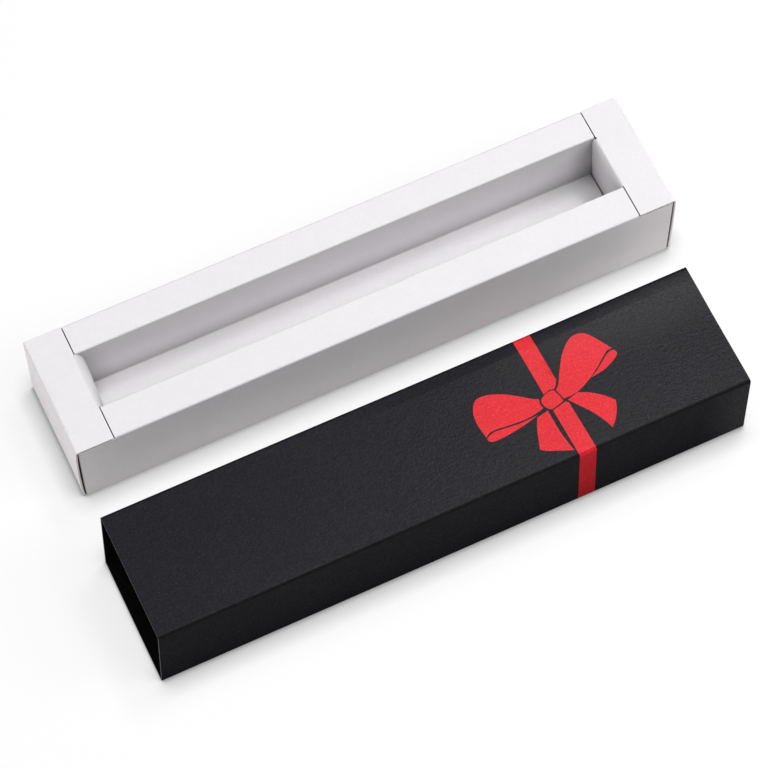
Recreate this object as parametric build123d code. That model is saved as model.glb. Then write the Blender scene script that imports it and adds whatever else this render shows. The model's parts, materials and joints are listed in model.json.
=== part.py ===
from build123d import *
from itertools import pairwise
from math import atan2, cos, radians, sin, tan
import os

# Pen box in millimetres: a white folded tray and the black sleeve that slips over it.
# The origin is at the middle of the tray's underside, with X along the tray, Y towards
# the back and Z up. The sleeve stands by itself in front of the tray.

# Tray
tray_length = 175.0
tray_width = 35.8
tray_height = 26.9
tray_board = 0.45
end_ledge_width = 10.7
front_ledge_width = 9.85
back_ledge_width = 8.95
well_depth = 20.25
corner_tab_reach = 8.0
tray_glue_flap_height = 5.0
tray_glue_flap_taper = 4.0

# Tuck flaps at the two ends of the well
left_flap_lean = 10.0
right_flap_lean = 0.0
flap_corner_radius = 0.8

# Sleeve
sleeve_length = 169.5
sleeve_board = 0.45
sleeve_glue_flap_width = 12.0
sleeve_glue_flap_taper = 3.0

# Fits
slide_clearance = 0.3
slit_width = 0.3
cut_clearance = 0.2
flap_side_clearance = 0.4
flap_foot_clearance = 0.35
crease_clearance = 0.03
glue_film = 0.1
glue_margin = 1.0
overrun = 1.0

# Where the sleeve stands
set_apart_gap = 19.7
set_apart_shift = 4.2

# Derived sizes
half_length = tray_length / 2
half_width = tray_width / 2
crease_x = half_length - end_ledge_width
long_half = crease_x - slit_width
well_back = half_width - back_ledge_width
well_front = front_ledge_width - half_width
well_middle = (well_back + well_front) / 2
floor_height = tray_height - well_depth
flap_half = (well_back - well_front) / 2 - flap_side_clearance
flap_drop = well_depth - flap_foot_clearance
tab_x = half_length - tray_board - cut_clearance
shoulder_height = tray_height - tray_board - cut_clearance
glue_flap_half = tab_x - tray_board - cut_clearance
bottom_front = half_width - tray_board - glue_film
sleeve_width = tray_width + 2 * (slide_clearance + sleeve_board)
seam_height = sleeve_board + glue_film
sleeve_height = seam_height + sleeve_board + tray_height + slide_clearance + sleeve_board
sleeve_half = sleeve_length / 2
sleeve_place = Pos(-set_apart_shift, -half_width - set_apart_gap - sleeve_width)


def panel_end(corner, outward, into, board, half_turn):
    """Where a panel's printed and inner faces stop at a corner, and the edges between."""
    if half_turn == 0:
        back = corner + into * board
        return corner, back, [Line(corner, back)]
    side = 1 if half_turn > 0 else -1
    half = abs(half_turn)
    inset = crease_clearance + (board * tan(half) if side > 0 else 0)
    face = corner - outward * inset
    back = face + into * board
    centre, rim = (back, face) if side > 0 else (face, back)

    def on_fold(angle):
        return centre + outward * (board * sin(angle)) - into * (side * board * cos(angle))

    tip = on_fold(half)
    return face, back, [ThreePointArc(rim, on_fold(half / 2), tip), Line(tip, centre)]


def panel_sections(board, *corners):
    """Sections of the panels of one creased strip, from the corners of its printed face.

    The board lies on the left of each run. Two panels share each round fold, half and half.
    """
    points = [Vector(*corner) for corner in corners]
    runs = [(end - start).normalized() for start, end in pairwise(points)]
    turns = [atan2(a.X * b.Y - a.Y * b.X, a.dot(b)) for a, b in pairwise(runs)]
    half_turns = [0, *(turn / 2 for turn in turns), 0]
    sections = []
    for index, run in enumerate(runs):
        into = Vector(-run.Y, run.X)
        start = panel_end(points[index], -run, into, board, half_turns[index])
        end = panel_end(points[index + 1], run, into, board, half_turns[index + 1])
        faces = [Line(start[0], end[0]), Line(start[1], end[1])]
        sections.append(make_face([*faces, *start[2], *end[2]]))
    return sections


def along_x(section, half):
    return extrude(Plane.YZ * section, amount=half, both=True)


def along_y(section, half):
    return extrude(Plane.XZ * section, amount=half, both=True)


def along_z(section, low, high):
    return extrude(Plane.XY.offset(low) * section, amount=high - low)


def round_foot(flap):
    """Rounds the two lower corners of a tuck flap."""
    foot = flap.edges().filter_by(Axis.Y, reverse=True).group_by(Axis.Z)[0]
    return fillet(foot, flap_corner_radius)


nodes = {}

# Tray: the long strip, wrapped from the base over both walls and down into the well
(
    glue_flap_section,
    bottom_section,
    back_wall_section,
    back_ledge_section,
    back_inner_section,
    floor_section,
    front_inner_section,
    front_ledge_section,
    front_wall_section,
) = panel_sections(
    tray_board,
    (-bottom_front, tray_glue_flap_height),
    (-bottom_front, 0),
    (half_width, 0),
    (half_width, tray_height),
    (well_back, tray_height),
    (well_back, floor_height),
    (well_front, floor_height),
    (well_front, tray_height),
    (-half_width, tray_height),
    (-half_width, 0),
)

# Tray: the end strip, from one tuck flap under the tray to the other
(
    left_flap_section,
    left_ledge_section,
    left_wall_section,
    bottom_profile,
    right_wall_section,
    right_ledge_section,
    right_flap_section,
) = panel_sections(
    tray_board,
    (-crease_x + flap_drop * tan(radians(left_flap_lean)), tray_height - flap_drop),
    (-crease_x, tray_height),
    (-half_length, tray_height),
    (-half_length, 0),
    (half_length, 0),
    (half_length, tray_height),
    (crease_x, tray_height),
    (crease_x - flap_drop * tan(radians(right_flap_lean)), tray_height - flap_drop),
)

# Tray: the long walls in plan, with the corner tabs that fold in behind the end walls
front_left_plan, front_plan, front_right_plan = panel_sections(
    tray_board,
    (-tab_x, corner_tab_reach - half_width),
    (-tab_x, -half_width),
    (tab_x, -half_width),
    (tab_x, corner_tab_reach - half_width),
)
back_right_plan, back_plan, back_left_plan = panel_sections(
    tray_board,
    (tab_x, half_width - corner_tab_reach),
    (tab_x, half_width),
    (-tab_x, half_width),
    (-tab_x, half_width - corner_tab_reach),
)

nodes["tray_bottom"] = along_x(bottom_section, half_length) & along_y(bottom_profile, half_width)

# The walls step down at their ends, where the end ledges lie over them
shoulder_length = half_length - long_half
shoulder_depth = tray_height - shoulder_height
shoulders = [
    Pos(side * (long_half + half_length) / 2, 0, (shoulder_height + tray_height + overrun) / 2)
    * Box(shoulder_length, tray_width + overrun, shoulder_depth + overrun)
    for side in (-1, 1)
]
for name, section, plan in (
    ("front_outer_wall", front_wall_section, front_plan),
    ("back_outer_wall", back_wall_section, back_plan),
):
    wall = along_x(section, half_length) & along_z(plan, 0, tray_height)
    nodes[name] = wall - shoulders

for name, section in (
    ("front_ledge", front_ledge_section),
    ("front_inner_wall", front_inner_section),
    ("well_floor", floor_section),
    ("back_inner_wall", back_inner_section),
    ("back_ledge", back_ledge_section),
):
    nodes[name] = along_x(section, long_half)

for name, plan in (
    ("front_left_tab", front_left_plan),
    ("front_right_tab", front_right_plan),
    ("back_left_tab", back_left_plan),
    ("back_right_tab", back_right_plan),
):
    nodes[name] = along_z(plan, tray_board + cut_clearance, shoulder_height)

# The seam, where the base turns up inside the front wall and is glued to it
seam_outline = Polygon(
    (-glue_flap_half, 0),
    (glue_flap_half, 0),
    (glue_flap_half - tray_glue_flap_taper, tray_glue_flap_height),
    (tray_glue_flap_taper - glue_flap_half, tray_glue_flap_height),
    align=None,
)
nodes["tray_glue_flap"] = along_x(glue_flap_section, glue_flap_half) & along_y(seam_outline, half_width)
film_length = 2 * (glue_flap_half - tray_glue_flap_taper)
film_height = tray_glue_flap_height - tray_board - glue_margin
nodes["tray_glue_line"] = Pos(0, -bottom_front, tray_board) * Box(
    film_length, glue_film, film_height, align=(Align.CENTER, Align.MAX, Align.MIN)
)

# The end closures: a wall up from the base, a ledge over the corner tabs, a flap into the well
for side, wall_section, ledge_section, flap_section in (
    ("left", left_wall_section, left_ledge_section, left_flap_section),
    ("right", right_wall_section, right_ledge_section, right_flap_section),
):
    nodes[f"{side}_end_wall"] = along_y(wall_section, half_width)
    nodes[f"{side}_end_ledge"] = along_y(ledge_section, half_width)
    nodes[f"{side}_tuck_flap"] = Pos(0, well_middle) * round_foot(along_y(flap_section, flap_half))

# Sleeve: one strip wrapped round the tray, with its glue flap folded in over the bottom panel
(
    sleeve_flap_section,
    sleeve_back_section,
    sleeve_top_section,
    sleeve_front_section,
    sleeve_bottom_section,
) = panel_sections(
    sleeve_board,
    (sleeve_width - sleeve_glue_flap_width, seam_height),
    (sleeve_width, seam_height),
    (sleeve_width, sleeve_height),
    (0, sleeve_height),
    (0, 0),
    (sleeve_width, 0),
)
for name, section in (
    ("sleeve_bottom", sleeve_bottom_section),
    ("sleeve_front", sleeve_front_section),
    ("sleeve_top", sleeve_top_section),
    ("sleeve_back", sleeve_back_section),
):
    nodes[name] = sleeve_place * along_x(section, sleeve_half)

flap_outline = Polygon(
    (-sleeve_half, sleeve_width),
    (sleeve_glue_flap_taper - sleeve_half, sleeve_width - sleeve_glue_flap_width),
    (sleeve_half - sleeve_glue_flap_taper, sleeve_width - sleeve_glue_flap_width),
    (sleeve_half, sleeve_width),
    align=None,
)
sleeve_flap = along_x(sleeve_flap_section, sleeve_half) & along_z(flap_outline, 0, sleeve_height)
nodes["sleeve_glue_flap"] = sleeve_place * sleeve_flap
sleeve_film_width = sleeve_glue_flap_width - sleeve_board - 2 * glue_margin
sleeve_film = Box(
    sleeve_length - 2 * sleeve_glue_flap_taper,
    sleeve_film_width,
    glue_film,
    align=(Align.CENTER, Align.MAX, Align.MIN),
)
film_back = sleeve_width - sleeve_board - glue_margin
nodes["sleeve_glue_line"] = sleeve_place * Pos(0, film_back, sleeve_board) * sleeve_film

os.makedirs("parts", exist_ok=True)
for name, shape in nodes.items():
    export_step(shape, f"parts/{name}.step")
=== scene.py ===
import json
import math

import bmesh
import bpy
from mathutils import Matrix, Vector, noise
from mathutils.geometry import delaunay_2d_cdt


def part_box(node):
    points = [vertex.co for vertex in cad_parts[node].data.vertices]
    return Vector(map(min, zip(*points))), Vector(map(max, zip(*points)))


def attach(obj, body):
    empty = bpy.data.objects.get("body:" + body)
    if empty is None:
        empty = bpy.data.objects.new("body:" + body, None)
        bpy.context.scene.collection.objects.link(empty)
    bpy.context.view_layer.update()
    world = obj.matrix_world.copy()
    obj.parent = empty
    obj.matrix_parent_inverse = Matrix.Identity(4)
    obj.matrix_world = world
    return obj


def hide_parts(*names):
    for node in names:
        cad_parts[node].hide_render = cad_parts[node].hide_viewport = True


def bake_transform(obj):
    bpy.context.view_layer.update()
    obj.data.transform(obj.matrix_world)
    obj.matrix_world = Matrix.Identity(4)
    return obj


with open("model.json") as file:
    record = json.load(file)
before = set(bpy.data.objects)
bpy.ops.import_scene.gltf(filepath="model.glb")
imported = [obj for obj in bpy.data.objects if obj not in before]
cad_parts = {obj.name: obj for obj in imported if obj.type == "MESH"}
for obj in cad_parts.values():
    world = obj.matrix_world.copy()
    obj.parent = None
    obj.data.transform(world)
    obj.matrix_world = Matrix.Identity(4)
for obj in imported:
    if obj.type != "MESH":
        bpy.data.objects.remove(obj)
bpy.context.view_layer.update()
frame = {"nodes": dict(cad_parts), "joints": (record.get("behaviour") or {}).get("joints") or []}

# Lengths are in millimetres until a mesh is made
MM = 0.001
TINY = 1e-6  # lengths and turns below this count as none
WELD = 1e-5  # points nearer to each other than this are one


def low(name):
    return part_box(name)[0] / MM


def high(name):
    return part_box(name)[1] / MM


pivots = {
    joint["name"]: Vector(joint["pos_m"]) / MM
    for joint in frame["joints"]
    if "pos_m" in joint
}

# Sizes of the tray, from the frame
HALF_LENGTH = high("right_end_wall").x
HALF_WIDTH = high("back_outer_wall").y
HEIGHT = high("back_ledge").z
BOARD = HEIGHT - low("back_ledge").z
WALL_END = high("front_right_tab").x
STRIP_HALF = high("back_ledge").x
WELL_BACK = low("back_inner_wall").y
WELL_FRONT = high("front_inner_wall").y
FLOOR_HEIGHT = high("well_floor").z
CREASE_X = pivots["right_flap_fold"].x
TAB_FOOT = low("front_right_tab").z
TAB_REACH = high("front_right_tab").y + HALF_WIDTH

# Sizes of the sleeve, from the frame
SLEEVE_X = (low("sleeve_top").x + high("sleeve_top").x) / 2
SLEEVE_HALF = (high("sleeve_top").x - low("sleeve_top").x) / 2
SLEEVE_Y = low("sleeve_front").y
SLEEVE_WIDTH = high("sleeve_back").y - SLEEVE_Y
SLEEVE_HEIGHT = high("sleeve_top").z
SLEEVE_BOARD = SLEEVE_HEIGHT - low("sleeve_top").z
SEAM_HEIGHT = low("sleeve_glue_flap").z
SEAM_INNER = low("sleeve_glue_flap").y - SLEEVE_Y

# Meshes
STEP = 3.0  # longest cell
RIPPLE = 0.05  # unevenness of the white board
RIPPLE_SIZE = 45.0
SHARP_ANGLE = math.radians(40)  # edges bent more than this stay crisp

# Folds, with the radii of their printed sides
LIP = 0.25  # flat board kept on each side of a fold
TURNS = 8  # facets round a fold
CREASE_SHADE_INSET = 2  # facets at each end of a fold without the painted crease shade
TRAY_FOLD = 0.7
WELL_FOLD = 0.6
WELL_FRONT_FOLD = 0.35
WELL_FOOT_FOLD = 0.3
TAB_FOLD = 0.4
SLEEVE_FOOT_FOLD = 0.7
SLEEVE_FRONT_FOLD = 0.95
SLEEVE_BACK_FOLD = 0.9

# Tuck flaps
FLAP_GAP = 0.12  # between a flap's sides and the well's walls
FLAP_FRONT = WELL_FRONT + FLAP_GAP
FLAP_BACK = WELL_BACK - FLAP_GAP
FLAP_FOOT = FLOOR_HEIGHT - HEIGHT
BEND_STEPS = 10  # rows round a flap's soft bend
NOTCH = 0.55  # relief cut at the right flap's back corner
NOTCH_ROWS = 4
LEFT_FLAP_LIFT = 0.05  # of a flap's foot above the well's floor
RIGHT_FLAP_LIFT = 0.4
BULGE_START = 0.35  # share of the half width where an end wall starts to stand proud

# Seam of the sleeve
SEAM_TAPER = 3.0
SEAM_PLAY = 0.03  # keeps the back panel clear of the flap when it lies flat on it
NOSE_RELIEF = math.radians(3)

# Swell of the sleeve's top. Places along the sleeve are from its middle, insets from its back edge.
SWELL = 0.4
SWELL_START = -10.0
SWELL_LENGTH = 75.0
SWELL_INSET = 18.0
SWELL_RISE = 14.0

# Roll along the sleeve's back edge, which narrows and fades to the right
ROLL_BAND = 3.0
ROLL_MARGIN = 1.0
ROLL_DROP = 0.42
ROLL_EASE = 0.3
ROLL_START = -30.0
ROLL_LENGTH = 50.0
ROLL_FADE_START = 50.0
ROLL_FADE_LENGTH = 35.0
ROLL_NARROWING = 1.4
ROLL_FADE = 0.7
BACK_REACH = 9.0  # height of the back panel's upper part, which moves with the top
BACK_EASE = 8.0

# Cut ends of the sleeve
END_START = 60.0  # from the middle, where the slant of the cut starts to show
LEFT_FOOT_OUT = 1.0
RIGHT_TOP_IN = 0.7

# Painted light on the sleeve: sheen on its top and reflected light on its front
SHEEN_PAINT = 0.85  # of the painted sheen on the sleeve's top, towards its right back corner
SHEEN_PAINT_START = 10.0
SHEEN_PAINT_LENGTH = 60.0
SHEEN_PAINT_INSET = 16.0
SHEEN_PAINT_RISE = 12.0
SHEEN_PAINT_EDGE = 2.5
REFLECTION_PAINT_LENGTH = 16.0  # of the painted reflected light on the sleeve's front, at its right end

# Print
RIBBON = (33.43, 38.33)
RIBBON_SLANT = 0.035  # the print lies a little askew on the board
SLANT_REACH = 22.5  # how far from the ribbon the board's columns slant with it
BACK_FOOT = 2.0  # above it the sleeve's back half counts as its back panel
BASE_TOP = 1.0  # below it the section counts as the sleeve's bottom panel
BOW_SCALE = (0.994, 0.98)
BOW_SHIFT = (-0.64, 0.1)
CURVE_STEPS = 6

# Painted shade, with reaches in metres
CORNER_REACH = 0.008  # how far from its corners the well's board gets painted shade
CORNER_SHADE = 0.74
INNER_SHADE = 0.06  # how much painted shade the well's board gets away from them
FLOOR_SHADE = 0.1  # share of both on the well's floor
LEFT_FLAP_SHADE = 1.0
RIGHT_FLAP_SHADE = 0.5
FOOT_REACH = 0.03  # how far from the floor the sleeve's sides get painted shade
FOOT_SHADE = 0.78
GAP_OPEN = (0.12, 0.52)  # openness of a place from a gap full of painted shade to plain board
GAP_SHADE = 0.85
OCCLUSION_SAMPLES = 12

# Board texture
GRAIN_SCALE = 1700
CLOUD_SCALE = 60
FIBRE_SCALE = 900
FIBRE_STRETCH = (0.7, 1.3, 1.0)
MOTTLE_SCALE = 420
DOT_SCALE = 2300
NOISE_ROUGHNESS = 0.6
WIDE = (0.3, 0.7)  # parts of a noise's range that are used
MIDDLE = (0.35, 0.65)
# the next range is for the painted sheen and reflected light
PAINTED_LIGHT_NOISE = (0.37, 0.63)
TIGHT = (0.38, 0.62)
PEAKS = (0.57, 0.75)
CLOUD_SHARE = 0.5
DOT_SHARE = 0.8
# share of the painted sheen and reflected light, from the grain
PAINTED_LIGHT_SHARE = (0.2, 1.1)
CREASE_SHADE_SHARE = (0.5, 1)
ROUGH_SPREAD = 0.07
RELIEF_DEPTH = 0.00008
VARNISH = 0.015
VARNISH_ROUGHNESS = 0.26
VARNISH_IOR = 3.0
NO_LIGHT = (0, 0, 0)
MIX_FIRST, MIX_SECOND, MIX_RESULT = 6, 7, 2  # colour sockets of a Mix node


# Materials
def new_material(name):
    material = bpy.data.materials.new(name)
    material.use_nodes = True
    tree = material.node_tree
    shader = tree.nodes["Principled BSDF"]
    return material, tree, shader


def node(tree, kind, **values):
    """A new node. Values whose names start with in_ go to its inputs."""
    made = tree.nodes.new(kind)
    for key, value in values.items():
        if key.startswith("in_"):
            made.inputs[key.removeprefix("in_").replace("_", " ")].default_value = value
        else:
            setattr(made, key, value)
    return made


def noise_node(tree, coords, scale, detail, stretch=None):
    source = coords.outputs["Object"]
    if stretch:
        mapping = node(tree, "ShaderNodeMapping", in_Scale=stretch)
        tree.links.new(source, mapping.inputs["Vector"])
        source = mapping.outputs["Vector"]
    made = node(tree, "ShaderNodeTexNoise", in_Scale=scale, in_Detail=detail, in_Roughness=NOISE_ROUGHNESS)
    tree.links.new(source, made.inputs["Vector"])
    return made.outputs["Fac"]


def ranged(tree, value, bounds, results):
    """Carries a value from between two bounds to between two results."""
    made = node(
        tree, "ShaderNodeMapRange",
        in_From_Min=bounds[0], in_From_Max=bounds[1], in_To_Min=results[0], in_To_Max=results[1],
    )
    tree.links.new(value, made.inputs["Value"])
    return made.outputs["Result"]


def mixed(tree, factor, first, second):
    made = node(tree, "ShaderNodeMix", data_type="RGBA")
    tree.links.new(factor, made.inputs["Factor"])
    for index, colour in ((MIX_FIRST, first), (MIX_SECOND, second)):
        socket = made.inputs[index]
        if isinstance(colour, tuple):
            socket.default_value = (*colour, 1)
        else:
            tree.links.new(colour, socket)
    return made.outputs[MIX_RESULT]


def times(tree, first, second):
    made = node(tree, "ShaderNodeMath", operation="MULTIPLY")
    for socket, value in zip(made.inputs, (first, second)):
        if isinstance(value, (int, float)):
            socket.default_value = value
        else:
            tree.links.new(value, socket)
    return made.outputs["Value"]


def occlusion(tree, distance):
    """How open a place is, from 0 to 1, among the surfaces within a distance."""
    made = node(tree, "ShaderNodeAmbientOcclusion", samples=OCCLUSION_SAMPLES, in_Distance=distance)
    return made.outputs["AO"]


def board_material(
    name, light, dark, rough, bump, specular, grain_share=0.5,
    speck=None, shade=None, painted_light_colour=None, gap_shade_colour=None, varnish_and_floor_shade=0,
):
    """Paperboard with clouds, grain, fibres and specks, painted shade along folds, and painted
    sheen or reflected light where marked.

    Varnished board also gets painted shade near the floor. Board with a gap colour gets painted
    shade in the well's corners, and that colour as painted shade in narrow gaps.
    """
    material, tree, shader = new_material(name)
    coords = node(tree, "ShaderNodeTexCoord")
    grain = noise_node(tree, coords, GRAIN_SCALE, detail=5)
    cloud = noise_node(tree, coords, CLOUD_SCALE, detail=4)
    fibre = noise_node(tree, coords, FIBRE_SCALE, detail=3, stretch=FIBRE_STRETCH)
    mottle = noise_node(tree, coords, MOTTLE_SCALE, detail=2)
    tone = mixed(tree, ranged(tree, cloud, WIDE, (0, CLOUD_SHARE)), light, dark)
    tone = mixed(tree, ranged(tree, mottle, MIDDLE, (0, grain_share / 2)), tone, dark)
    tone = mixed(tree, ranged(tree, grain, TIGHT, (0, grain_share)), tone, dark)
    if speck:
        dots = noise_node(tree, coords, DOT_SCALE, detail=2)
        tone = mixed(tree, ranged(tree, dots, PEAKS, (0, DOT_SHARE)), tone, speck)
    # The mark attribute holds painted sheen or reflected light on the sleeve, and how deep in the well a
    # place lies for painted shade
    light_and_shade_amount = node(tree, "ShaderNodeAttribute", attribute_name="light_and_shade_mark").outputs["Fac"]
    # Painted sheen and reflected light: a lighter colour where the mark attribute says
    if painted_light_colour:
        painted_light_share = times(tree, light_and_shade_amount, ranged(tree, grain, PAINTED_LIGHT_NOISE, PAINTED_LIGHT_SHARE))
        tone = mixed(tree, painted_light_share, tone, painted_light_colour)
    # Painted shade along the middles of the folds, where the fold attribute says
    if shade:
        crease_shaded = node(tree, "ShaderNodeAttribute", attribute_name="fold").outputs["Fac"]
        crease_shade_share = times(tree, crease_shaded, ranged(tree, fibre, WIDE, CREASE_SHADE_SHARE))
        tone = mixed(tree, crease_shade_share, tone, shade)
    # Painted shade near the floor, less where painted reflected light is marked
    if varnish_and_floor_shade:
        unmarked = ranged(tree, light_and_shade_amount, (0, 1), (1, 0))
        near_floor = ranged(tree, occlusion(tree, FOOT_REACH), (0, 1), (FOOT_SHADE, 0))
        tone = mixed(tree, times(tree, unmarked, near_floor), tone, NO_LIGHT)
    # Painted shade in the well's corners, and the gap colour as painted shade in narrow gaps
    if gap_shade_colour:
        open_share = occlusion(tree, CORNER_REACH)
        enclosed = ranged(tree, open_share, (0, 1), (CORNER_SHADE, INNER_SHADE))
        tone = mixed(tree, times(tree, light_and_shade_amount, enclosed), tone, NO_LIGHT)
        tone = mixed(tree, ranged(tree, open_share, GAP_OPEN, (GAP_SHADE, 0)), tone, gap_shade_colour)
    tree.links.new(tone, shader.inputs["Base Color"])
    roughness = ranged(tree, grain, WIDE, (rough - ROUGH_SPREAD, rough + ROUGH_SPREAD))
    tree.links.new(roughness, shader.inputs["Roughness"])
    shader.inputs["Specular IOR Level"].default_value = specular
    height = node(tree, "ShaderNodeMath", operation="ADD")
    tree.links.new(grain, height.inputs[0])
    tree.links.new(fibre, height.inputs[1])
    relief = node(tree, "ShaderNodeBump", in_Strength=bump, in_Distance=RELIEF_DEPTH)
    tree.links.new(height.outputs["Value"], relief.inputs["Height"])
    tree.links.new(relief.outputs["Normal"], shader.inputs["Normal"])
    if varnish_and_floor_shade:
        shader.inputs["Coat Weight"].default_value = varnish_and_floor_shade
        shader.inputs["Coat Roughness"].default_value = VARNISH_ROUGHNESS
        shader.inputs["Coat IOR"].default_value = VARNISH_IOR
        tree.links.new(relief.outputs["Normal"], shader.inputs["Coat Normal"])
    return material


# A dark colour painted into narrow gaps as shade
WHITE_GAP_SHADE_COLOUR = (0.26, 0.235, 0.225)
WHITE = board_material(
    "white_board_face",
    light=(0.834, 0.812, 0.838), dark=(0.766, 0.748, 0.772),
    rough=0.72, bump=0.3, specular=0.2, gap_shade_colour=WHITE_GAP_SHADE_COLOUR,
)
# A darker copy of the white board, as painted shade on the left tuck flap
WHITE_SHADED_FLAP = board_material(
    "white_flap_painted_shade",
    light=(0.71, 0.69, 0.712), dark=(0.65, 0.636, 0.656),
    rough=0.72, bump=0.3, specular=0.2, gap_shade_colour=WHITE_GAP_SHADE_COLOUR,
)
WHITE_BACK = board_material(
    "white_board_back",
    light=(0.78, 0.76, 0.76), dark=(0.73, 0.71, 0.70),
    rough=0.82, bump=0.4, specular=0.15, gap_shade_colour=WHITE_GAP_SHADE_COLOUR,
)
WHITE_CUT = board_material(
    "white_board_cut",
    light=(0.80, 0.76, 0.74), dark=(0.68, 0.63, 0.60),
    rough=0.85, bump=0.6, specular=0.1, gap_shade_colour=WHITE_GAP_SHADE_COLOUR,
)
BLACK = board_material(
    "black_board_face",
    light=(0.0190, 0.0182, 0.0232), dark=(0.0100, 0.0095, 0.0125),
    rough=0.6, bump=0.65, specular=0.0, grain_share=0.9,
    # shade is the painted crease shade, and the colour after it the painted sheen and reflected light
    speck=(0.037, 0.036, 0.041), shade=(0.0045, 0.0044, 0.005), painted_light_colour=(0.040, 0.038, 0.041),
    varnish_and_floor_shade=VARNISH,
)
BLACK_BACK = board_material(
    "black_board_back",
    light=(0.0105, 0.0102, 0.011), dark=(0.0075, 0.0073, 0.008),
    rough=0.8, bump=0.4, specular=0.0,
)
BLACK_CUT = board_material(
    "black_board_cut",
    light=(0.13, 0.128, 0.13), dark=(0.06, 0.058, 0.06),
    rough=0.8, bump=0.5, specular=0.1,
)
RED = board_material(
    "red_ink",
    light=(0.79, 0.033, 0.045), dark=(0.64, 0.022, 0.032),
    rough=0.6, bump=0.8, specular=0.0, grain_share=0.7,
    # shade is the painted crease shade, and the colour after it the painted sheen and reflected light
    speck=(0.84, 0.11, 0.12), shade=(0.60, 0.008, 0.018), painted_light_colour=(0.70, 0.05, 0.06),
    varnish_and_floor_shade=VARNISH,
)
# A darker copy of the red ink, as painted shade on the sleeve's front and back
RED_SHADED = board_material(
    "red_ink_painted_shade",
    light=(0.57, 0.021, 0.029), dark=(0.465, 0.014, 0.0205),
    rough=0.6, bump=0.8, specular=0.0, grain_share=0.7,
    speck=(0.61, 0.07, 0.077), shade=(0.45, 0.006, 0.012),
    varnish_and_floor_shade=VARNISH,
)
GLUE = board_material(
    "dried_glue",
    light=(0.72, 0.68, 0.56), dark=(0.62, 0.58, 0.46),
    rough=0.35, bump=0.2, specular=0.5,
)

# Materials of a board's printed face, back, cut edges and ink, in this order
FACE, BACK, CUT, INK = range(4)
WHITE_SET = (WHITE, WHITE_BACK, WHITE_CUT)
SHADED_FLAP_SET = (WHITE_SHADED_FLAP, WHITE_BACK, WHITE_CUT)
BLACK_SET = (BLACK, BLACK_BACK, BLACK_CUT, RED)
# the same, with the darker red ink as painted shade
BLACK_SHADED_INK_SET = (BLACK, BLACK_BACK, BLACK_CUT, RED_SHADED)


# Creased board
def steps_over(length, step):
    return max(1, math.ceil(length / step - TINY))


def run(points, target):
    """Adds points in even steps up to a target."""
    start = points[-1]
    count = steps_over((target - start).length, STEP)
    points += [start.lerp(target, k / count) for k in range(1, count + 1)]


def spread(*stops, step=STEP):
    """Places through all the stops, in even steps between them."""
    made = [stops[0]]
    for start, end in zip(stops, stops[1:]):
        count = steps_over(end - start, step)
        made += [start + (end - start) * k / count for k in range(1, count + 1)]
    return made


def clamped(value):
    return min(1, max(0, value))


def eased(value):
    t = clamped(value)
    return t * t * (3 - 2 * t)


def turned(vector, angle):
    c, s = math.cos(angle), math.sin(angle)
    return Vector((vector.x * c - vector.y * s, vector.x * s + vector.y * c))


def creased(corners, radii):
    """Points along the printed face of a creased strip, and each fold's four rows.

    The four rows are the lip before the fold, the fold's first and last, and the lip after it.
    """
    corners = [Vector(corner) for corner in corners]
    points, folds = [corners[0]], []
    for before, corner, after, radius in zip(corners, corners[1:], corners[2:], radii):
        a, b = (corner - before).normalized(), (after - corner).normalized()
        turn = math.atan2(a.cross(b), a.dot(b))
        if abs(turn) < TINY:
            run(points, corner)
            folds.append((len(points) - 1,) * 4)
            continue
        reach = radius * math.tan(abs(turn) / 2)
        run(points, corner - a * (reach + LIP))
        points.append(corner - a * reach)
        first = len(points) - 1
        arm = Vector((a.y, -a.x)) * math.copysign(radius, turn)
        centre = points[-1] - arm
        points += [centre + turned(arm, turn * k / TURNS) for k in range(1, TURNS + 1)]
        points.append(corner + b * (reach + LIP))
        folds.append((first - 1, first, first + TURNS, first + TURNS + 1))
    run(points, corners[-1])
    return points, folds


def outward(line):
    """Unit normals on the printed side, which is the right of the line."""
    steps = [(b - a).normalized() for a, b in zip(line, line[1:])]
    steps = [steps[0], *steps, steps[-1]]
    along = [(a + b).normalized() for a, b in zip(steps, steps[1:])]
    return [Vector((t.y, -t.x)) for t in along]


def finish_mesh(name, mesh, materials):
    bmesh.ops.recalc_face_normals(mesh, faces=mesh.faces[:])
    for face in mesh.faces:
        face.smooth = True
    for edge in mesh.edges:
        edge.smooth = edge.calc_face_angle(0) < SHARP_ANGLE
    data = bpy.data.meshes.new(name)
    mesh.to_mesh(data)
    mesh.free()
    for material in materials:
        data.materials.append(material)
    made = bpy.data.objects.new(name, data)
    bpy.context.scene.collection.objects.link(made)
    return made


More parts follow.
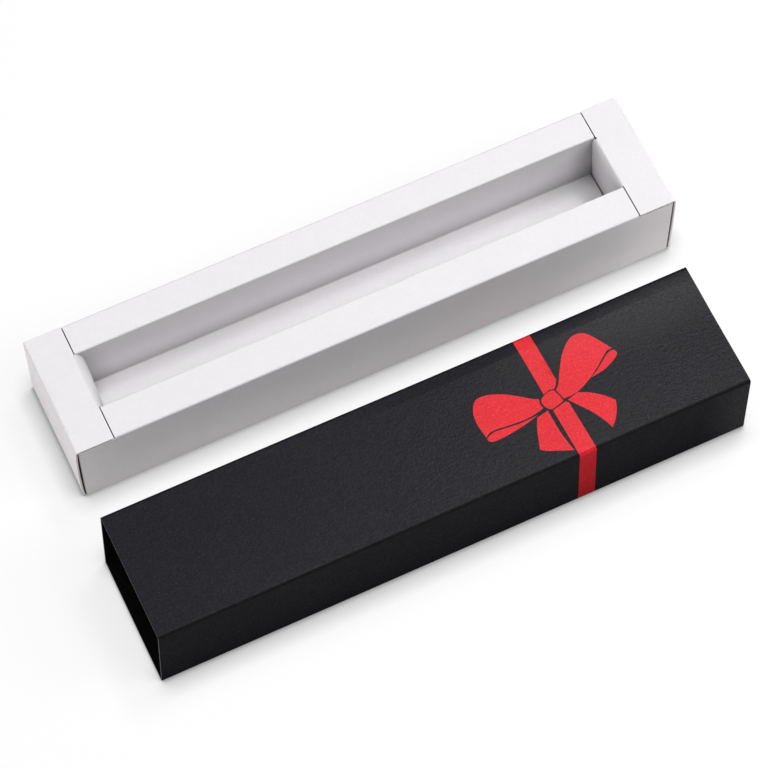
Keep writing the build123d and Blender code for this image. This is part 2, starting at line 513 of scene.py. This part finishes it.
class Wrap:
    """A creased strip of board: rows of section points, in columns along the folds."""

    def __init__(self, points, columns, place, board, warp=None, ripple=0, folds=()):
        self.columns, self.place = columns, place
        # Rows that get painted shade along the folds
        self.crease_shaded = {
            row for fold in folds for row in range(fold[1] + CREASE_SHADE_INSET, fold[2] + 1 - CREASE_SHADE_INSET)
        }
        self.sides = ([], [])
        for column in columns:
            line = [warp(point, column) for point in points] if warp else points
            if ripple:
                line = [
                    point + normal * ripple * noise.noise(place(point, column) / RIPPLE_SIZE)
                    for point, normal in zip(line, outward(line))
                ]
            self.sides[0].append(line)
            self.sides[1].append([point - normal * board for point, normal in zip(line, outward(line))])

    def at(self, side, column, row):
        return self.place(self.sides[side][column][row], self.columns[column])

    def middle(self, column):
        return (self.columns[column] + self.columns[column + 1]) / 2

    def piece(self, name, first, last, materials, keep=None, inked=None, light_and_shade_marks=None):
        """Rows first to last as one closed board.

        keep says which cells are there, inked which columns are printed, and the last function how
        much painted sheen or reflected light a place gets, or how deep in the well it lies for painted
        shade.
        """
        mesh = bmesh.new()
        fold = mesh.verts.layers.float.new("fold")
        light_and_shade_mark = mesh.verts.layers.float.new("light_and_shade_mark")
        made = {}

        def vert(side, column, row):
            key = side, column, row
            if key not in made:
                made[key] = mesh.verts.new(self.at(*key) * MM)
                # The fold attribute marks the rows that get painted crease shade
                made[key][fold] = float(side == 0 and row in self.crease_shaded)
                # Painted sheen, reflected light, or well depth for painted shade
                made[key][light_and_shade_mark] = light_and_shade_marks(self.columns[column], row) if light_and_shade_marks else 0
            return made[key]

        cells = [
            (column, row)
            for column in range(len(self.columns) - 1)
            for row in range(first, last)
            if keep is None or keep(self.middle(column), row)
        ]
        there = set(cells)
        for column, row in cells:
            ring = [(column, row), (column + 1, row), (column + 1, row + 1), (column, row + 1)]
            face = mesh.faces.new([vert(0, *key) for key in ring])
            face.material_index = INK if inked and inked(self.middle(column)) else FACE
            mesh.faces.new([vert(1, *key) for key in reversed(ring)]).material_index = BACK
            beside = [(column, row - 1), (column + 1, row), (column, row + 1), (column - 1, row)]
            for index, cell in enumerate(beside):
                if cell not in there:
                    a, b = ring[index], ring[(index + 1) % 4]
                    wall = mesh.faces.new([vert(0, *b), vert(0, *a), vert(1, *a), vert(1, *b)])
                    wall.material_index = CUT
        return finish_mesh(name, mesh, materials)

    def hinge(self, piece, first, last, first_body, last_body):
        """Bakes the piece's transform into its mesh. It works out where the fold runs between rows first
        and last but doesn't use it: the piece doesn't bend, and the two bodies are not used.
        """
        middle = len(self.columns) // 2
        start, end = self.at(0, middle, first), self.at(0, middle, last)
        along = (end - start).normalized()
        begin = max(0, (self.at(1, middle, first) - start).dot(along))
        stop = min((end - start).dot(along), (self.at(1, middle, last) - start).dot(along))
        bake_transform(piece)


def settle(piece, slot, *replaced, body=None):
    """Hides the solids that a piece replaces and parents it to the body that it rides on, if given. The
    slot is not used.
    """
    if replaced:
        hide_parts(*replaced)
    if body:
        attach(piece, body)


# Tray
def tray_wrap():
    """The long strip: base, back wall, ledge, well, ledge and front wall in one piece."""
    points, folds = creased(
        [
            (-HALF_WIDTH + 2 * BOARD, 0),
            (HALF_WIDTH, 0),
            (HALF_WIDTH, HEIGHT),
            (WELL_BACK, HEIGHT),
            (WELL_BACK, FLOOR_HEIGHT),
            (WELL_FRONT, FLOOR_HEIGHT),
            (WELL_FRONT, HEIGHT),
            (-HALF_WIDTH, HEIGHT),
            (-HALF_WIDTH, 0),
        ],
        [TRAY_FOLD, TRAY_FOLD, WELL_FOLD, WELL_FOOT_FOLD, WELL_FOOT_FOLD, WELL_FRONT_FOLD, TRAY_FOLD],
    )
    back_foot, back_top, back_rim, floor_back, floor_front, front_rim, front_top = folds
    base_half = HALF_LENGTH - TRAY_FOLD - LIP
    wall_half = WALL_END - TAB_FOLD
    columns = spread(-base_half, -wall_half, -STRIP_HALF, STRIP_HALF, wall_half, base_half)

    def place(point, x):
        return Vector((x, point.x, point.y))

    def keep(x, row):
        """The base reaches furthest, then the walls. The ledges and the well stop at the slits."""
        if row < back_foot[1]:
            return abs(x) < base_half
        if row < back_top[0] or row >= front_top[3]:
            return abs(x) < wall_half
        return abs(x) < STRIP_HALF

    # How deep in the well a place lies, for its painted shade
    def in_well(x, row):
        if floor_back[2] <= row <= floor_front[1]:
            return FLOOR_SHADE
        return float(back_rim[2] <= row <= front_rim[0])

    wrap = Wrap(points, columns, place, BOARD, ripple=RIPPLE, folds=folds)
    made = wrap.piece("tray_strip", 0, len(points) - 1, WHITE_SET, keep, light_and_shade_marks=in_well)
    settle(
        made, "white_board", "tray_bottom", "back_outer_wall", "back_ledge", "back_inner_wall",
        "well_floor", "front_inner_wall", "front_ledge", "front_outer_wall", body="tray",
    )


def corner_tab(side, face):
    """A tab folded in from the end of a long wall. side and face give its corner's signs."""
    points, folds = creased(
        [
            (-WALL_END, TAB_REACH - HALF_WIDTH),
            (-WALL_END, -HALF_WIDTH),
            (-WALL_END + TAB_FOLD + LIP, -HALF_WIDTH),
        ],
        [TAB_FOLD],
    )
    points = points[: folds[0][2] + 1]
    columns = spread(TAB_FOOT, HEIGHT - TRAY_FOLD - LIP)

    def place(point, z):
        return Vector((-side * point.x, -face * point.y, z))

    wrap = Wrap(points, columns, place, BOARD, folds=folds)
    name = f"{'front' if face < 0 else 'back'}_{'left' if side < 0 else 'right'}_tab"
    made = wrap.piece(f"{name}_board", 0, len(points) - 1, WHITE_SET)
    settle(made, "white_board", name, body="tray")


def end_closure(side, profile, foot, narrow, bulge, notch, materials, deep):
    """An end wall, ledge and tuck flap with their three folds. side is -1 at the left end.

    The flap is straight from its foot to the first point of its profile, and bends along the
    profile to its crease. Foot and profile are given from the crease: into the well, and up.
    narrow is how much steeper the flap stands to the front, bulge how far the wall stands proud
    of the front corner tab, and deep how much painted shade the flap gets in the well.
    """
    name = "left" if side < 0 else "right"
    wall, lid, flap = f"{name}_end_wall", f"{name}_end_ledge", f"{name}_tuck_flap"
    crease_point = Vector((-CREASE_X, HEIGHT))
    points = [crease_point + Vector(foot)]
    bend = [crease_point + Vector(point) for point in profile]
    run(points, bend[0])
    flap_end = len(points) - 1
    a, b, c, d = *bend, crease_point
    for k in range(1, BEND_STEPS + 1):
        t = k / BEND_STEPS
        s = 1 - t
        points.append(a * s**3 + b * (3 * s * s * t) + c * (3 * s * t * t) + d * t**3)
    crease = len(points) - 1
    rest, folds = creased(
        [
            (-CREASE_X - LIP, HEIGHT),
            (-HALF_LENGTH, HEIGHT),
            (-HALF_LENGTH, 0),
            (-HALF_LENGTH + TRAY_FOLD + LIP, 0),
        ],
        [TRAY_FOLD, TRAY_FOLD],
    )
    ledge = len(points)
    points += rest
    top, bottom = (tuple(row + ledge for row in fold) for fold in folds)
    last = bottom[3]
    points = points[: last + 1]

    def warp(point, y):
        if point.x > -CREASE_X:
            to_front = (FLAP_BACK - y) / (FLAP_BACK - FLAP_FRONT)
            return Vector((-CREASE_X + (point.x + CREASE_X) * (1 - narrow * to_front), point.y))
        if point.x > -HALF_LENGTH + 2 * TRAY_FOLD:
            return point
        near = clamped((-y - HALF_WIDTH * BULGE_START) / (HALF_WIDTH * (1 - BULGE_START)))
        belly = math.sin(math.pi * clamped(point.y / HEIGHT))
        return point + Vector((-bulge * near**2 * math.sqrt(belly), 0))

    def place(point, y):
        return Vector((-side * point.x, y, point.y))

    def on_flap(y, row):
        return FLAP_FRONT < y < FLAP_BACK

    def on_crease(y, row):
        high_up = row >= crease - NOTCH_ROWS
        return FLAP_FRONT < y < FLAP_BACK - (NOTCH if notch and high_up else 0)

    def on_ledge(y, row):
        return row >= ledge or not FLAP_FRONT < y < FLAP_BACK

    # How deep in the well a place lies, for its painted shade
    def in_well(y, row):
        return deep if row < crease else 0.0

    columns = spread(-HALF_WIDTH, FLAP_FRONT, FLAP_BACK - NOTCH, FLAP_BACK, HALF_WIDTH)
    wrap = Wrap(points, columns, place, BOARD, warp, RIPPLE, [top, bottom])
    made = wrap.piece(f"{flap}_board", 0, flap_end, materials, on_flap, light_and_shade_marks=in_well)
    settle(made, "white_board", flap, body=flap)
    made = wrap.piece(f"{flap}_crease", flap_end, ledge, materials, on_crease, light_and_shade_marks=in_well)
    settle(made, "white_board")
    wrap.hinge(made, flap_end, ledge, flap, lid)
    made = wrap.piece(f"{lid}_board", crease, top[0], WHITE_SET, on_ledge)
    settle(made, "white_board", lid, body=lid)
    made = wrap.piece(f"{lid}_crease", top[0], top[3], WHITE_SET)
    settle(made, "white_board")
    wrap.hinge(made, top[0], top[3], lid, wall)
    made = wrap.piece(f"{wall}_board", top[3], bottom[0], WHITE_SET)
    settle(made, "white_board", wall, body=wall)
    made = wrap.piece(f"{wall}_crease", bottom[0], last, WHITE_SET)
    settle(made, "white_board")
    wrap.hinge(made, bottom[0], last, wall, "tray")


tray_wrap()
for side in (-1, 1):
    for face in (-1, 1):
        corner_tab(side, face)
end_closure(
    -1,
    profile=[(2.75, -6.0), (2.55, -3.0), (1.8, -1.0)],
    foot=(3.78, FLAP_FOOT + LEFT_FLAP_LIFT),
    narrow=0.35,
    bulge=0.45,
    notch=False,
    # the darker copy of the white board, as painted shade
    materials=SHADED_FLAP_SET,
    deep=LEFT_FLAP_SHADE,
)
end_closure(
    1,
    profile=[(0.85, -2.6), (0.85, -1.3), (0.45, -0.3)],
    foot=(0.1, FLAP_FOOT + RIGHT_FLAP_LIFT),
    narrow=0.0,
    bulge=0.2,
    notch=True,
    materials=WHITE_SET,
    deep=RIGHT_FLAP_SHADE,
)


# Sleeve
def swell(x, y):
    """Rise of the sleeve's top towards the right part of its back edge."""
    inward = y - SLEEVE_WIDTH + SWELL_INSET
    return SWELL * eased((x - SWELL_START) / SWELL_LENGTH) * eased(inward / SWELL_RISE)


def painted_sheen(x, y):
    """How much painted sheen lightens the sleeve's top, towards its right back corner."""
    to_edge = 1 - eased((y - SLEEVE_WIDTH + ROLL_BAND + ROLL_MARGIN) / SHEEN_PAINT_EDGE)
    inward = y - SLEEVE_WIDTH + SHEEN_PAINT_INSET
    return SHEEN_PAINT * eased((x - SHEEN_PAINT_START) / SHEEN_PAINT_LENGTH) * eased(inward / SHEEN_PAINT_RISE) * to_edge


def painted_reflection(x, row):
    """How much painted reflected light lightens the front, towards its right end. It also takes away
    painted shade near the floor there.
    """
    return eased((x - SLEEVE_HALF + REFLECTION_PAINT_LENGTH) / REFLECTION_PAINT_LENGTH)


def sleeve_warp(point, x):
    """Along the right part of the back edge the top rolls down before its fold."""
    ending = eased((x - ROLL_FADE_START) / ROLL_FADE_LENGTH)
    band = ROLL_BAND - ROLL_NARROWING * ending
    drop = ROLL_DROP * eased((x - ROLL_START) / ROLL_LENGTH) * (1 - ROLL_FADE * ending)
    t = clamped((point.x - SLEEVE_WIDTH + band) / band)
    fall = (math.hypot(t, ROLL_EASE) - ROLL_EASE) / (math.hypot(1, ROLL_EASE) - ROLL_EASE)
    share = clamped((point.y - SLEEVE_HEIGHT + BACK_REACH) / BACK_EASE)
    return Vector((point.x, point.y + (swell(x, point.x) - drop * fall) * share))


def end_slant(x, height):
    """How far the sleeve's ends are cut aslant: longer at the left foot, shorter at the right top."""
    left = eased((-x - END_START) / (SLEEVE_HALF - END_START))
    right = eased((x - END_START) / (SLEEVE_HALF - END_START))
    up = clamped(height / SLEEVE_HEIGHT)
    return -LEFT_FOOT_OUT * left * (1 - up) - RIGHT_TOP_IN * right * up


def sleeve_place(point, x):
    """A point of the section in a column. The columns near the print slant with it."""
    fall = SLEEVE_HEIGHT - point.y
    if point.x > SLEEVE_WIDTH / 2 and point.y > BACK_FOOT:
        along = point.x + fall
    elif point.y > BASE_TOP:
        along = point.x - fall
    else:
        along = -point.x - fall
    share = 1 - eased((abs(x - sum(RIBBON) / 2) - SLANT_REACH) / SLANT_REACH)
    x -= RIBBON_SLANT * share * (along - SLEEVE_WIDTH / 2)
    return Vector((SLEEVE_X + x + end_slant(x, point.y), SLEEVE_Y + point.x, point.y))


def on_ribbon(x):
    return RIBBON[0] < x < RIBBON[1]


def curve(points):
    """A smooth line through given points, without its last point."""
    points = [Vector(point) for point in points]
    if len(points) == 2:
        return [points[0]]
    ends = [points[0] * 2 - points[1], *points, points[-1] * 2 - points[-2]]
    made = []
    for a, b, c, d in zip(ends, ends[1:], ends[2:], ends[3:]):
        square = 2 * a - 5 * b + 4 * c - d
        cube = 3 * b - a - 3 * c + d
        for k in range(CURVE_STEPS):
            t = k / CURVE_STEPS
            made.append(0.5 * (2 * b + (c - a) * t + square * t**2 + cube * t**3))
    return made


# The bow, as smooth lines that meet at corners. X is along the sleeve from its middle, Y to the back.
KNOT = [
    [(33.4, 0.2), (34.6, 0.85), (36.0, 1.1), (36.9, 1.0), (37.3, 0.5)],
    [(37.3, 0.5), (37.75, -1.0), (38.1, -2.5)],
    [(38.1, -2.5), (37.9, -3.0), (36.4, -3.45), (34.9, -3.8), (34.1, -3.8), (33.4, -3.2)],
    [(33.4, -3.2), (32.9, -2.2), (32.7, -1.2), (32.9, -0.4), (33.4, 0.2)],
]
RIGHT_LOOP = [
    [
        (37.7, 0.7), (39.0, 2.0), (41.2, 5.6), (43.6, 9.2), (46.4, 12.0),
        (48.6, 13.1), (50.6, 13.0), (52.3, 12.0), (54.1, 9.5), (56.5, 5.4),
    ],
    [(56.5, 5.4), (55.2, 5.4), (53.8, 4.6), (51.5, 2.8), (49.0, 1.0), (47.1, -0.2)],
    [(47.1, -0.2), (44.4, -1.5), (41.3, -2.4), (38.5, -2.4)],
    [(38.5, -2.4), (37.7, 0.7)],
]
RIGHT_LOOP_INSIDE = [
    [(56.2, 4.9), (56.9, 4.6), (57.1, 3.6), (56.4, 2.8), (54.7, 1.8), (51.7, 0.6), (47.7, 0.0)],
    [(47.7, 0.0), (49.6, 1.0), (52.1, 2.7), (54.1, 4.2), (55.4, 4.8), (56.2, 4.9)],
]
LEFT_LOOP = [
    [
        (32.5, 0.2), (30.9, 1.1), (28.2, 3.2), (25.1, 5.3), (22.1, 6.7), (19.4, 7.4),
        (17.3, 7.1), (15.9, 5.6), (15.0, 3.4), (14.7, 0.7), (14.9, -1.7), (15.2, -3.9),
    ],
    [
        (15.2, -3.9), (16.5, -3.1), (18.5, -2.9), (21.5, -3.2),
        (24.9, -3.5), (28.0, -3.5), (31.0, -3.0), (32.4, -2.6),
    ],
    [(32.4, -2.6), (32.1, -1.2), (32.5, 0.2)],
]
LEFT_LOOP_INSIDE = [
    [
        (15.3, -4.3), (15.2, -4.8), (15.5, -5.3), (16.6, -5.8),
        (19.7, -5.8), (23.6, -5.3), (27.0, -4.7), (30.1, -3.8),
    ],
    [
        (30.1, -3.8), (27.9, -3.95), (24.7, -4.0), (21.3, -3.65),
        (18.3, -3.35), (16.6, -3.6), (15.3, -4.3),
    ],
]
LEFT_TAIL = [
    [(33.1, -3.8), (29.8, -4.4)],
    [(29.8, -4.4), (28.6, -6.6), (27.5, -9.5), (26.3, -13.1)],
    [(26.3, -13.1), (27.6, -14.1), (31.0, -15.7), (34.3, -17.1)],
    [(34.3, -17.1), (33.8, -14.3), (33.3, -10.0), (33.2, -6.4), (33.1, -3.8)],
]
RIGHT_TAIL = [
    [(39.3, -3.2), (42.6, -2.3)],
    [(42.6, -2.3), (45.3, -3.7), (48.4, -6.1), (50.6, -8.6)],
    [(50.6, -8.6), (49.8, -10.9), (48.1, -13.6), (46.3, -15.5)],
    [(46.3, -15.5), (45.2, -12.5), (43.3, -8.9), (41.1, -5.8), (39.3, -3.2)],
]
BOW = [KNOT, RIGHT_LOOP, RIGHT_LOOP_INSIDE, LEFT_LOOP, LEFT_LOOP_INSIDE, LEFT_TAIL, RIGHT_TAIL]
# The ribbon's ends at the knot, on the back's side and on the front's
RIBBON_BACK_END = [(39.1, 3.4), (38.3, 2.1), (37.5, 1.2), (36.2, 1.5), (34.25, 1.0)]
RIBBON_FRONT_END = [(34.4, -4.3), (36.6, -3.85), (38.6, -3.35), (39.2, -4.0)]


def bow_outlines(front, back):
    """Closed outlines of all the ink on the sleeve's top, in the section's own coordinates."""
    left, right = RIBBON

    def own(point):
        x = point[0] * BOW_SCALE[0] + BOW_SHIFT[0]
        y = point[1] * BOW_SCALE[1] + BOW_SHIFT[1]
        return Vector((x + RIBBON_SLANT * y, y + SLEEVE_WIDTH / 2))

    outlines = [[own(point) for line in lines for point in curve(line)] for lines in BOW]
    back_end = [own(point) for point in RIBBON_BACK_END]
    outlines.append([Vector((left, back)), Vector((right, back)), *back_end])
    front_end = [own(point) for point in RIBBON_FRONT_END]
    outlines.append([*front_end, Vector((right, front)), Vector((left, front))])
    return outlines


def inside(point, outline):
    found = False
    for a, b in zip(outline, outline[1:] + outline[:1]):
        if (a.y > point.y) != (b.y > point.y):
            crossing = a.x + (point.y - a.y) / (b.y - a.y) * (b.x - a.x)
            if point.x < crossing:
                found = not found
    return found


def printed_top(name, columns, front, back):
    """The flat of the sleeve's top, cut into ink and bare board along the bow's outlines."""
    outlines = bow_outlines(front, back)
    rows = spread(front, back, step=2 * STEP)[1:-1]
    points, edges = [], []

    def ring(line):
        start = len(points)
        points.extend(line)
        edges.extend((start + k, start + (k + 1) % len(line)) for k in range(len(line)))

    border = [Vector((x, front)) for x in columns]
    border += [Vector((columns[-1], y)) for y in rows]
    border += [Vector((x, back)) for x in reversed(columns)]
    border += [Vector((columns[0], y)) for y in reversed(rows)]
    ring(border)
    for outline in outlines:
        ring(outline)
    points.extend(Vector((x, y)) for x in columns[1:-1] for y in spread(front, back)[1:-1])
    flat, _, faces, *_ = delaunay_2d_cdt(points, edges, [], 0, WELD)
    mesh = bmesh.new()
    light_and_shade_mark = mesh.verts.layers.float.new("light_and_shade_mark")

    def surface(level):
        return [
            mesh.verts.new(sleeve_place(Vector((v.y, level + swell(v.x, v.y))), v.x) * MM)
            for v in flat
        ]

    tops = surface(SLEEVE_HEIGHT)
    unders = surface(SLEEVE_HEIGHT - SLEEVE_BOARD)
    # Painted sheen on the top's flat, towards its right back corner
    for vert, place in zip(tops, flat):
        vert[light_and_shade_mark] = painted_sheen(place.x, place.y)
    sided = {}
    for face in faces:
        middle = sum((flat[k] for k in face), Vector((0, 0))) / len(face)
        made = mesh.faces.new([tops[k] for k in face])
        made.material_index = INK if any(inside(middle, outline) for outline in outlines) else FACE
        mesh.faces.new([unders[k] for k in reversed(face)]).material_index = BACK
        for a, b in zip(face, [*face[1:], face[0]]):
            pair = frozenset((a, b))
            sided[pair] = None if pair in sided else (a, b)
    for side in sided.values():
        if side:
            a, b = side
            mesh.faces.new([tops[b], tops[a], unders[a], unders[b]]).material_index = CUT
    return finish_mesh(name, mesh, BLACK_SET)


def seam_flap():
    """The glue flap, with a round nose that fills the back's lower fold at any angle."""
    t, back = SLEEVE_BOARD, SLEEVE_WIDTH - SLEEVE_BOARD
    hinge = Vector((back, SEAM_HEIGHT + t))
    sweep = math.pi - NOSE_RELIEF
    facets = 2 * TURNS
    nose = [hinge + turned(Vector((0, -t)), sweep * k / facets) for k in range(facets + 1)]
    inner = Vector((back - SEAM_PLAY, SEAM_HEIGHT + t - SEAM_PLAY))
    outline = [Vector((SEAM_INNER, SEAM_HEIGHT)), *nose, inner, Vector((SEAM_INNER, inner.y))]
    columns = spread(-SLEEVE_HALF, *RIBBON, SLEEVE_HALF)

    def place(point, x):
        far = max(0, back - point.x) / (back - SEAM_INNER)
        return sleeve_place(point, x * (1 - far * SEAM_TAPER / SLEEVE_HALF)) * MM

    mesh = bmesh.new()
    rings = [[mesh.verts.new(place(point, x)) for point in outline] for x in columns]
    count = len(outline)
    for column, (a, b) in enumerate(zip(rings, rings[1:])):
        printed = INK if on_ribbon((columns[column] + columns[column + 1]) / 2) else FACE
        for k in range(count):
            face = mesh.faces.new([a[k], a[(k + 1) % count], b[(k + 1) % count], b[k]])
            face.material_index = printed if 1 <= k <= facets else BACK
    for ring in (rings[0], list(reversed(rings[-1]))):
        mesh.faces.new(ring).material_index = BACK
    made = finish_mesh("sleeve_glue_flap_board", mesh, BLACK_SET)
    settle(made, "black_board", "sleeve_glue_flap", body="sleeve_base")


def sleeve():
    """The wrapped strip, from the back panel's foot over the top and front to the bottom's end."""
    w, h = SLEEVE_WIDTH, SLEEVE_HEIGHT
    back_foot = SEAM_HEIGHT + SLEEVE_BOARD + SEAM_PLAY
    columns = spread(-SLEEVE_HALF, *RIBBON, SLEEVE_HALF)
    points, folds = creased(
        [(w, back_foot), (w, h), (w - ROLL_BAND - ROLL_MARGIN, h), (0, h), (0, 0), (w, 0)],
        [SLEEVE_BACK_FOLD, SLEEVE_FRONT_FOLD, SLEEVE_FRONT_FOLD, SLEEVE_FOOT_FOLD],
    )
    upper, edge, crest, foot = folds
    wrap = Wrap(points, columns, sleeve_place, SLEEVE_BOARD, sleeve_warp, folds=[upper, crest, foot])

    def part(name, first, last, light_and_shade_marks=None, materials=BLACK_SET):
        return wrap.piece(name, first, last, materials, inked=on_ribbon, light_and_shade_marks=light_and_shade_marks)

    # Painted sheen on the strip beside the roll
    def edge_painted_sheen(x, row):
        return painted_sheen(x, points[row].x)

    made = part("sleeve_back_board", 0, upper[0], materials=BLACK_SHADED_INK_SET)
    settle(made, "black_board", "sleeve_back", body="sleeve_back")
    made = part("sleeve_back_crease", upper[0], upper[3])
    settle(made, "black_board")
    wrap.hinge(made, upper[0], upper[3], "sleeve_back", "sleeve_top")
    made = part("sleeve_top_edge", upper[3], edge[0], edge_painted_sheen)
    settle(made, "black_board", body="sleeve_top")
    made = printed_top("sleeve_top_board", columns, points[crest[0]].x, points[edge[0]].x)
    settle(made, "black_board", "sleeve_top", body="sleeve_top")
    made = part("sleeve_top_crease", crest[0], crest[3])
    settle(made, "black_board")
    wrap.hinge(made, crest[0], crest[3], "sleeve_top", "sleeve_front")
    # The front board takes painted reflected light towards its right end
    made = part("sleeve_front_board", crest[3], foot[0], painted_reflection, BLACK_SHADED_INK_SET)
    settle(made, "black_board", "sleeve_front", body="sleeve_front")
    made = part("sleeve_front_crease", foot[0], foot[3], materials=BLACK_SHADED_INK_SET)
    settle(made, "black_board")
    wrap.hinge(made, foot[0], foot[3], "sleeve_front", "sleeve_base")
    made = part("sleeve_bottom_board", foot[3], len(points) - 1)
    settle(made, "black_board", "sleeve_bottom", body="sleeve_base")


sleeve()
seam_flap()

# Hidden pieces keep their solids
for name, material in (
    ("tray_glue_flap", WHITE),
    ("tray_glue_line", GLUE),
    ("sleeve_glue_line", GLUE),
):
    solid = frame["nodes"][name]
    solid.data.materials.clear()
    solid.data.materials.append(material)

# Floor, light and camera, with places in metres
FLOOR_SIZE = 3.0
FLOOR_DROP = -0.00002  # just under the object
FLOOR_BOUNCE = (0.8, 0.768, 0.745)
FLOOR_SEEN = (0.95, 0.95, 0.95)
FLOOR_GLOW = 0.78
# Painted contact shadows in the floor's glow
SHADOW_REACH = 0.0066
CONTACT_REACH = 0.0016
CONTACT_OPEN = (0.35, 0.9)
CONTACT_SHADE = (0.4, 1)
SURROUND_LIGHT = 0.12
AIM = Vector((0, -0.03, 0))
LENS = 157.95  # these two in millimetres, as a camera takes them
SENSOR = 36.0
CLIP_START = 0.1
CAMERA_PLACE = Vector((-0.16764, -0.3829, 0.82023))
CAMERA_RIGHT = Vector((0.90432, -0.42684, -0.00439))
CAMERA_DOWN = Vector((-0.38587, -0.81305, -0.43596))
CAMERA_AHEAD = Vector((0.18251, 0.39594, -0.89996))


def backdrop_share(tree):
    """1 for rays that show the background itself: seen, mirrored or through glass."""
    path = node(tree, "ShaderNodeLightPath")
    share = path.outputs["Is Camera Ray"]
    for name in ("Is Glossy Ray", "Is Transmission Ray"):
        both = node(tree, "ShaderNodeMath", operation="MAXIMUM")
        tree.links.new(share, both.inputs[0])
        tree.links.new(path.outputs[name], both.inputs[1])
        share = both.outputs["Value"]
    return share


def make_floor():
    """A pale floor that keeps the shadows. Camera and mirror rays also see a glow with painted contact
    shadows.
    """
    data = bpy.data.meshes.new("floor")
    corners = [(-1, -1), (1, -1), (1, 1), (-1, 1)]
    places = [(x * FLOOR_SIZE, y * FLOOR_SIZE, FLOOR_DROP) for x, y in corners]
    data.from_pydata(places, [], [(0, 1, 2, 3)])
    made = bpy.data.objects.new("floor", data)
    bpy.context.scene.collection.objects.link(made)
    material = bpy.data.materials.new("pale_floor")
    material.use_nodes = True
    tree = material.node_tree
    tree.nodes.remove(tree.nodes["Principled BSDF"])
    shown = backdrop_share(tree)
    pale = node(tree, "ShaderNodeBsdfDiffuse")
    tree.links.new(mixed(tree, shown, FLOOR_BOUNCE, FLOOR_SEEN), pale.inputs["Color"])
    # Painted contact shadows, from occlusion, in the glow
    contact = ranged(tree, occlusion(tree, CONTACT_REACH), CONTACT_OPEN, CONTACT_SHADE)
    white = node(tree, "ShaderNodeEmission")
    tree.links.new(times(tree, occlusion(tree, SHADOW_REACH), contact), white.inputs["Strength"])
    mix = node(tree, "ShaderNodeMixShader")
    tree.links.new(times(tree, shown, FLOOR_GLOW), mix.inputs["Fac"])
    tree.links.new(pale.outputs["BSDF"], mix.inputs[1])
    tree.links.new(white.outputs["Emission"], mix.inputs[2])
    tree.links.new(mix.outputs["Shader"], tree.nodes["Material Output"].inputs["Surface"])
    data.materials.append(material)


def make_world():
    """A white surround, which lights the object less than it shows."""
    world = bpy.data.worlds.new("studio")
    world.use_nodes = True
    tree = world.node_tree
    background = tree.nodes["Background"]
    background.inputs["Color"].default_value = (1, 1, 1, 1)
    strength = ranged(tree, backdrop_share(tree), (0, 1), (SURROUND_LIGHT, 1))
    tree.links.new(strength, background.inputs["Strength"])
    bpy.context.scene.world = world


def make_lamp(name, place, size, power):
    data = bpy.data.lights.new(name, "AREA")
    data.shape = "RECTANGLE"
    data.size, data.size_y = size
    data.energy = power
    made = bpy.data.objects.new(name, data)
    made.location = place
    made.rotation_euler = (AIM - Vector(place)).to_track_quat("-Z", "Y").to_euler()
    bpy.context.scene.collection.objects.link(made)


def make_camera():
    data = bpy.data.cameras.new("camera")
    data.lens = LENS
    data.sensor_width = SENSOR
    data.clip_start = CLIP_START
    made = bpy.data.objects.new("camera", data)
    turn = Matrix((CAMERA_RIGHT, -CAMERA_DOWN, -CAMERA_AHEAD)).transposed().to_4x4()
    made.matrix_world = Matrix.Translation(CAMERA_PLACE) @ turn
    bpy.context.scene.collection.objects.link(made)
    bpy.context.scene.camera = made


make_floor()
make_world()
make_lamp("key", place=(0.45, 0.27, 1.3), size=(0.35, 0.18), power=5.8)
make_lamp("top_light", place=(0.0, -0.03, 1.5), size=(0.8, 0.8), power=6.8)
make_lamp("front_light", place=(0.6, -0.6, 1.1), size=(0.8, 0.5), power=6.0)
make_lamp("right_light", place=(1.0, -0.5, 0.8), size=(0.7, 0.5), power=4.2)
make_lamp("left_light", place=(-1.3, 0.0, 0.2), size=(0.9, 0.35), power=6.5)
make_camera()
bpy.context.scene.view_settings.view_transform = "Standard"

bpy.context.view_layer.update()
